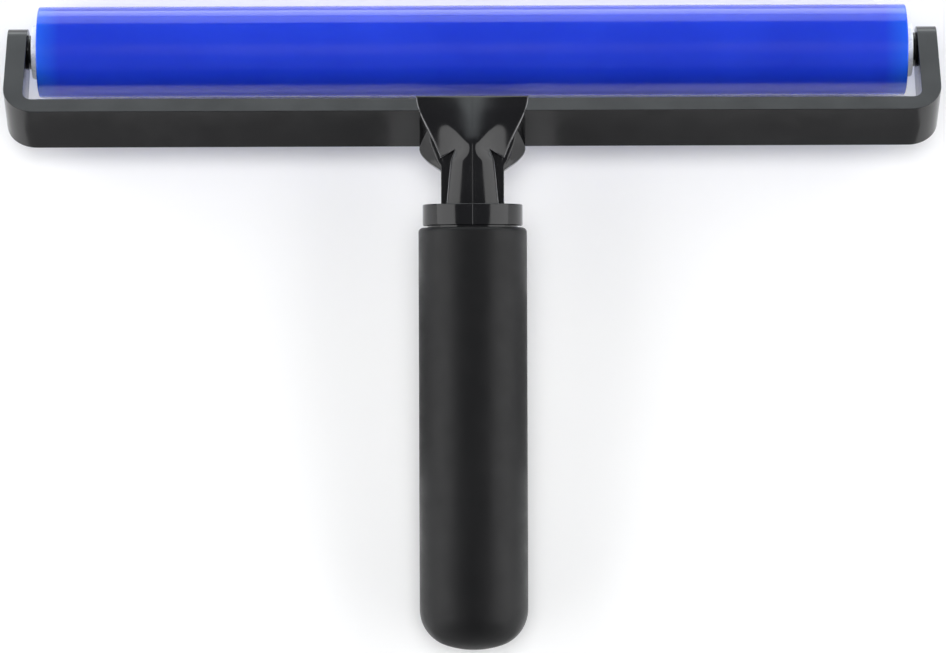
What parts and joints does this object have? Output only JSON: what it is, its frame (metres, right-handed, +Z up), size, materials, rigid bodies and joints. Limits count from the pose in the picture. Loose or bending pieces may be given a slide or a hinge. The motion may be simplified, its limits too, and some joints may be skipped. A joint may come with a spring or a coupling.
{
  "type": "brayer roller",
  "caption": "Hand roller with a glossy silicone sleeve on a free-spinning core, held by a one-sided handle through a U-shaped yoke.",
  "frame": {"origin": "middle of the bounding box at the level the tool rests on", "axes": "+X along the roller, the handle runs toward -Y and slightly down, +Z up; the tool lies at rest with its roller and the end of its grip on Z = 0"},
  "size_m": [0.3214, 0.2236, 0.0531],
  "materials": {
    "black_gloss": "glossy moulded black plastic",
    "grip_soft": "matte soft-touch black",
    "silicone_blue": "glossy, slightly tacky, slightly translucent blue silicone",
    "plug_white": "translucent natural nylon",
    "core_grey": "extruded tube",
    "washer_white": "acetal",
    "cage_nylon": "moulded nylon",
    "steel": "ground steel",
    "ball_steel": "polished steel"
  },
  "bodies": {
    "frame": {"axle_rod": "steel", "axle_screws": "steel", "bearing_inner_left": "steel", "bearing_inner_right": "steel", "grip": "grip_soft", "handle_core": "black_gloss", "hub_screws": "steel", "screw_cap_left": "black_gloss", "screw_cap_right": "black_gloss", "thrust_washer_left": "washer_white", "thrust_washer_right": "washer_white", "yoke": "black_gloss"},
    "roller": {"silicone_sleeve": "silicone_blue", "core_tube": "core_grey", "end_plug_left": "plug_white", "end_plug_right": "plug_white", "bearing_outer_left": "steel", "bearing_outer_right": "steel", "bearing_shields_left": "steel", "bearing_shields_right": "steel"},
    "cage_left": {"bearing_cage_left": "cage_nylon", "bearing_balls_left": "ball_steel"},
    "cage_right": {"bearing_cage_right": "cage_nylon", "bearing_balls_right": "ball_steel"}
  },
  "joints": [
    {"name": "roller_spin", "type": "hinge", "parent": "frame", "child": "roller", "pos_m": [0, 0.09607, 0.01575], "axis": [1, 0, 0], "continuous": true},
    {"name": "cage_left_spin", "type": "hinge", "parent": "frame", "child": "cage_left", "pos_m": [0, 0.09607, 0.01575], "axis": [1, 0, 0], "continuous": true},
    {"name": "cage_right_spin", "type": "hinge", "parent": "frame", "child": "cage_right", "pos_m": [0, 0.09607, 0.01575], "axis": [1, 0, 0], "continuous": true}
  ],
  "couplings": [
    {"joint": "cage_left_spin", "follows": "roller_spin", "ratio": 0.6133},
    {"joint": "cage_right_spin", "follows": "roller_spin", "ratio": 0.6133}
  ]
}
